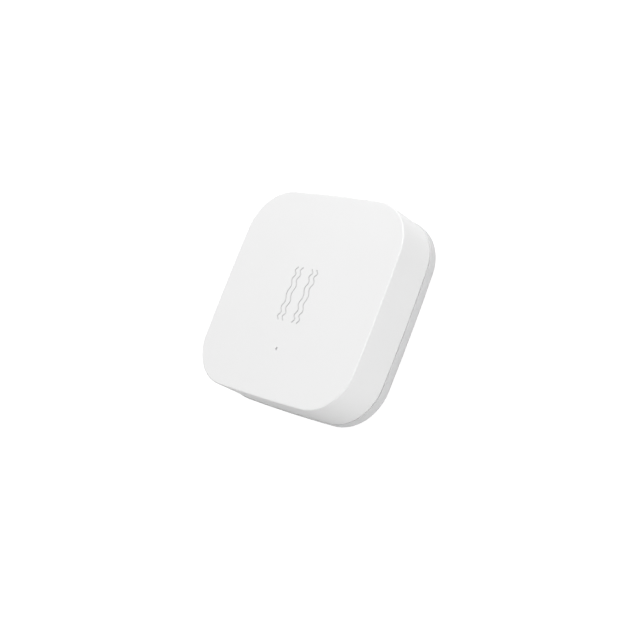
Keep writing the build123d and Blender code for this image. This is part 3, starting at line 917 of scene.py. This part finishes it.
def legend_over():
    """White legend on the board's front: a line round each larger chip and a dot by its first
    pin."""
    shapes = []
    line, chip_gap, corner, dot_radius = 0.12, 0.45, 0.3, 0.18
    low_z, high_z = over_z, over_z + ink
    for low, high in (
        (radio_low, radio_high),
        (sensor_low, sensor_high),
        (inductor_low, inductor_high),
    ):
        middle, half = (low + high)[:2] / 2, (high - low)[:2] / 2 + chip_gap
        frame_line = rounded(half[0], half[1], corner, 60, middle)
        dot = circle(dot_radius, 16, middle + half * (-1, 1) + (-0.35, 0.1))
        shapes.append(ribbon(frame_line, line, low_z, high_z, closed=True))
        shapes.append(layered(((dot, low_z), (dot, high_z))))
    return shapes


add_piece("board_tracks", under_tracks(), "housing", "track_mask")
add_piece("board_vias", vias(), "housing", "gold_copper")
add_piece("board_legend", legend_under() + legend_over(), "housing", "legend_ink")


# Metal ends and solder of the small parts, whose places follow the board as shares of its half
chip_length, chip_width = 1.0, 0.5
capacitor_height, resistor_height = 0.5, 0.35
capacitor_place_shares = (
    (-0.5, 0.02), (-0.42, 0.02), (-0.06, -0.02), (-0.06, -0.1), (-0.06, -0.2),
    (0.16, 0.24), (0.16, 0.34), (0.46, 0.3), (0.46, 0.4), (0.2, -0.3),
)
resistor_place_shares = (
    (-0.3, 0.1), (-0.2, 0.1), (0.1, -0.52), (-0.16, 0.6), (-0.26, 0.6), (0.3, -0.12),
)


def chip_ends(shares, height):
    """Two plated caps over the ends of each small part, and the solder that climbs them: wide at
    its foot, narrower at a waist about a third of the way up, and a thin brow at three
    quarters."""
    caps, joints = [], []
    skin, reach, cap_edge = 0.015, 0.24, 0.03
    half_y = chip_width / 2 + skin
    foot_half, foot_flare, foot_out, foot_rise = 0.2, 0.04, 0.06, 0.03
    brow_half, brow_draw, brow_in = 0.07, 0.02, 0.05
    waist_in, waist_share, brow_share = 0.04, 0.35, 0.75
    for share in shares:
        x, y = np.array(share) * board_half
        for side in (-1, 1):
            outer = x + side * (chip_length / 2 + skin)
            inner = x + side * (chip_length / 2 - reach)
            low = (min(outer, inner), y - half_y, over_z)
            high = (max(outer, inner), y + half_y, over_z + height + skin)
            caps.append(block(low, high, cap_edge))
            foot_place, brow_place = (outer + side * foot_out, y), (outer - side * brow_in, y)
            foot = rounded(foot_half, half_y + foot_flare, 0.1, 24, foot_place)
            brow = rounded(brow_half, half_y - brow_draw, 0.05, 24, brow_place)
            waist = (foot + brow) / 2 - np.array([side * waist_in, 0])
            joints.append(
                layered(
                    (
                        (foot, over_z),
                        (foot, over_z + foot_rise),
                        (waist, over_z + height * waist_share),
                        (brow, over_z + height * brow_share),
                    )
                )
            )
    return caps, joints


capacitor_caps, capacitor_joints = chip_ends(capacitor_place_shares, capacitor_height)
resistor_caps, resistor_joints = chip_ends(resistor_place_shares, resistor_height)


def chip_leads(low, high, per_side):
    """Short flat leads that show along the four edges of a chip with no legs."""
    shapes = []
    half_width_share, half_length, thickness, edge = 0.25, 0.18, 0.06, 0.02
    middle, half = (low + high)[:2] / 2, (high - low)[:2] / 2
    pitch = 2 * half[0] / (per_side + 1)
    for index in range(per_side):
        along = pitch * (index - (per_side - 1) / 2)
        for side in (-1, 1):
            for turned in (False, True):
                centre = np.array([along, side * half[1]])
                size = np.array([pitch * half_width_share, half_length])
                if turned:
                    centre, size = centre[::-1], size[::-1]
                foot, top = middle + centre - size, middle + centre + size
                shapes.append(block((*foot, over_z), (*top, over_z + thickness), edge, 16))
    return shapes


leads = chip_leads(radio_low, radio_high, 8) + chip_leads(sensor_low, sensor_high, 4)
leads += chip_leads(inductor_low, inductor_high, 1)
add_piece("chip_end_caps", capacitor_caps + resistor_caps, "housing", "nickel_can")
add_piece("solder_joints", capacitor_joints + resistor_joints + leads, "housing", "solder")


def foot_solder():
    """Solder round the feet of the two springs: low mounds that are widest on the board. Each is a
    stack of rounded rectangles, given by how far each lies from the board and how far it draws
    in."""
    mound = ((0.0, 0.0), (0.06, 0.02), (0.16, 0.14), (0.2, 0.3))
    corner = 0.5
    shapes = []
    for centre, half in (
        ((side_spring_low[0] + 1.0, 0), (1.15, 1.75)),
        ((leaf_high[0] - 0.9, 0), (1.0, 1.75)),
    ):
        layers = []
        for rise, inset in mound:
            outline = rounded(half[0] - inset, half[1] - inset, corner, 60, centre)
            layers.append((outline, under_z - rise))
        shapes.append(layered(layers))
    return shapes


add_piece("spring_foot_solder", foot_solder(), "housing", "solder")


# Marks of moulding and stamping
def ejector_marks():
    """Faint raised rings that the ejector pins left on the floor of the base plate."""
    far, near = 16.0, 9.0
    inner, outer, proud = 1.35, 1.5, 0.04
    low = cushion_low[2]
    places = [(x, y) for x in (-far, far) for y in (-near, near)]
    places += [(x, y) for x in (-near, near) for y in (-far, far)]
    return [washer(place, inner, outer, low, low + proud, 60) for place in places]


def stamped_cross():
    """A plain plus sign standing a little proud of the cell's flat face. Its outline keeps its
    size for a step and then draws in, which softens its edges."""
    half, arm = 2.6, 0.42
    layers = []
    for rise, inset in ((0.0, 0.0), (0.03, 0.0), (0.045, 0.05)):
        layers.append((cross_outline((0, 0), half - inset, arm - inset), can_low[2] - rise))
    return [layered(layers)]


add_piece("ejector_marks", ejector_marks(), "base", "base_plastic")
add_piece("cell_plus_mark", stamped_cross(), "coin_cell", "cell_steel")


# Studio: a white floor, a white room and soft lamps
def seen_ray(tree):
    """One for rays from the camera, a mirror or glass, and nought for rays that light the tag."""
    path = node(tree, "ShaderNodeLightPath")
    mirrored = node(
        tree,
        "ShaderNodeMath",
        {"operation": "MAXIMUM"},
        i0=path.outputs["Is Camera Ray"],
        i1=path.outputs["Is Glossy Ray"],
    )
    return node(
        tree,
        "ShaderNodeMath",
        {"operation": "MAXIMUM"},
        i0=mirrored.outputs[0],
        i1=path.outputs["Is Transmission Ray"],
    ).outputs[0]


def white_floor():
    """White paper. Where it is seen it is lifted to plain white and keeps a faint shadow."""
    material = bpy.data.materials.new("white_floor")
    material.use_nodes = True
    tree = material.node_tree
    tree.nodes.clear()
    paper = node(tree, "ShaderNodeBsdfDiffuse", Color=linear("#D4D4D4"))
    shaded = node(tree, "ShaderNodeBsdfDiffuse", Color=(0.25, 0.25, 0.25, 1))
    lift = node(tree, "ShaderNodeEmission", Color=(1, 1, 1, 1), Strength=0.94)
    seen = node(tree, "ShaderNodeAddShader", i0=shaded.outputs[0], i1=lift.outputs[0])
    mixed = node(
        tree, "ShaderNodeMixShader", i0=seen_ray(tree), i1=paper.outputs[0], i2=seen.outputs[0]
    )
    node(tree, "ShaderNodeOutputMaterial", Surface=mixed.outputs[0])
    return material


def place_floor():
    """A large flat floor just under the tag, so that the two faces don't coincide."""
    half, drop = 1500 * MM, 0.02 * MM
    mesh = bpy.data.meshes.new("floor")
    flat = ((-half, -half), (half, -half), (half, half), (-half, half))
    mesh.from_pydata([(x, y, -drop) for x, y in flat], [], [(0, 1, 2, 3)])
    mesh.materials.append(white_floor())
    floor = bpy.data.objects.new("floor", mesh)
    bpy.context.scene.collection.objects.link(floor)


def white_room(strength):
    """An even white room that lights the tag softly and is plain white where it is seen."""
    world = bpy.data.worlds.new("white_room")
    bpy.context.scene.world = world
    world.use_nodes = True
    tree = world.node_tree
    tree.nodes.clear()
    level = node(tree, "ShaderNodeMapRange", Value=seen_ray(tree), To_Min=strength, To_Max=1.0)
    light = node(tree, "ShaderNodeBackground", Color=(1, 1, 1, 1), Strength=level.outputs[0])
    node(tree, "ShaderNodeOutputWorld", Surface=light.outputs[0])


def place_lamp(name, bearing, height, power):
    """A round soft lamp that faces the tag, at a bearing from +X and a height in degrees."""
    size, distance = 450 * MM, 700 * MM
    light = bpy.data.lights.new(name, "AREA")
    light.shape = "DISK"
    light.size = size
    light.energy = power
    lamp = bpy.data.objects.new(name, light)
    towards = Vector(direction(bearing, height))
    lamp.location = towards * distance
    lamp.rotation_mode = "QUATERNION"
    lamp.rotation_quaternion = towards.to_track_quat("Z", "Y")
    bpy.context.scene.collection.objects.link(lamp)


place_floor()
white_room(0.25)
for lamp in (
    ("far_side_lamp", 100, 35, 3.1),
    ("top_lamp", 0, 88, 0.71),
    ("low_front_lamp", -22, 12, 1.8),
    ("front_lamp", 0, 40, 0.74),
    ("indicator_side_lamp", 235, 50, 0.42),
    ("right_lamp", 60, 45, 0.27),
):
    place_lamp(*lamp)

bpy.context.scene.view_settings.view_transform = "Standard"
